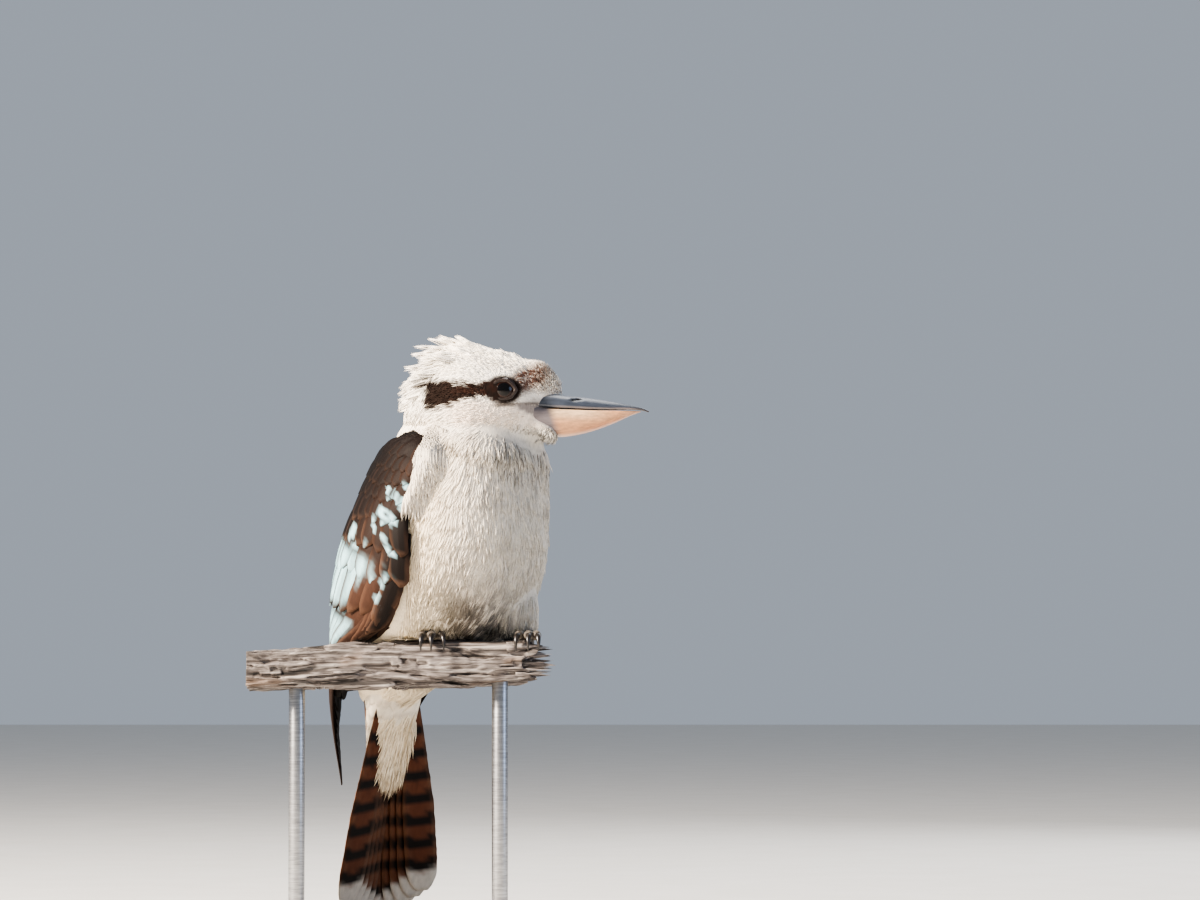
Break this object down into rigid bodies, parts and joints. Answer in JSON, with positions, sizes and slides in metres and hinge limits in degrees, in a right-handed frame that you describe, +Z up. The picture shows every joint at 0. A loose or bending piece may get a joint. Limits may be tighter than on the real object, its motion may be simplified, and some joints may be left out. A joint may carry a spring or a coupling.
{
  "type": "laughing kookaburra model on a perch",
  "caption": "Life-size still model of a laughing kookaburra, perched on a cut length of weathered branch that two rods hold above a flat base.",
  "frame": {"origin": "middle of the base's flat underside", "axes": "+Z up; +X along the branch to its broken end, the way the bill points; -Y the side that the claws grip, seen in the picture"},
  "size_m": [0.2318, 0.1444, 0.3583],
  "materials": {
    "head_plumage": "soft white to cream feathers, dark brown ear stripe",
    "body_plumage": "soft cream feathers with faint grey barring",
    "wing_feathers": "satin brown vanes, some tipped pale blue",
    "tail_feathers": "satin rufous vanes with black bars and white tips",
    "dark_bill_horn": "satin",
    "pale_bill_horn": "satin",
    "eye": "wet gloss",
    "foot_skin": "scaly, matt",
    "claw_horn": "satin",
    "weathered_wood": "raw, weathered grey",
    "rod_steel": "brushed",
    "base_wood": "dark stain, satin"
  },
  "bodies": {
    "root": {"head": "head_plumage", "neck": "head_plumage", "torso": "body_plumage", "wing_right": "wing_feathers", "wing_left": "wing_feathers", "tail": "tail_feathers", "bill_upper": "dark_bill_horn", "bill_lower": "pale_bill_horn", "eye_right": "eye", "eye_left": "eye", "leg_right": "foot_skin", "leg_left": "foot_skin", "claw_right_inner": "claw_horn", "claw_right_middle": "claw_horn", "claw_right_outer": "claw_horn", "claw_right_hind": "claw_horn", "claw_left_inner": "claw_horn", "claw_left_middle": "claw_horn", "claw_left_outer": "claw_horn", "claw_left_hind": "claw_horn", "perch": "weathered_wood", "stand_rod_left": "rod_steel", "stand_rod_right": "rod_steel", "stand_base": "base_wood"}
  },
  "joints": []
}
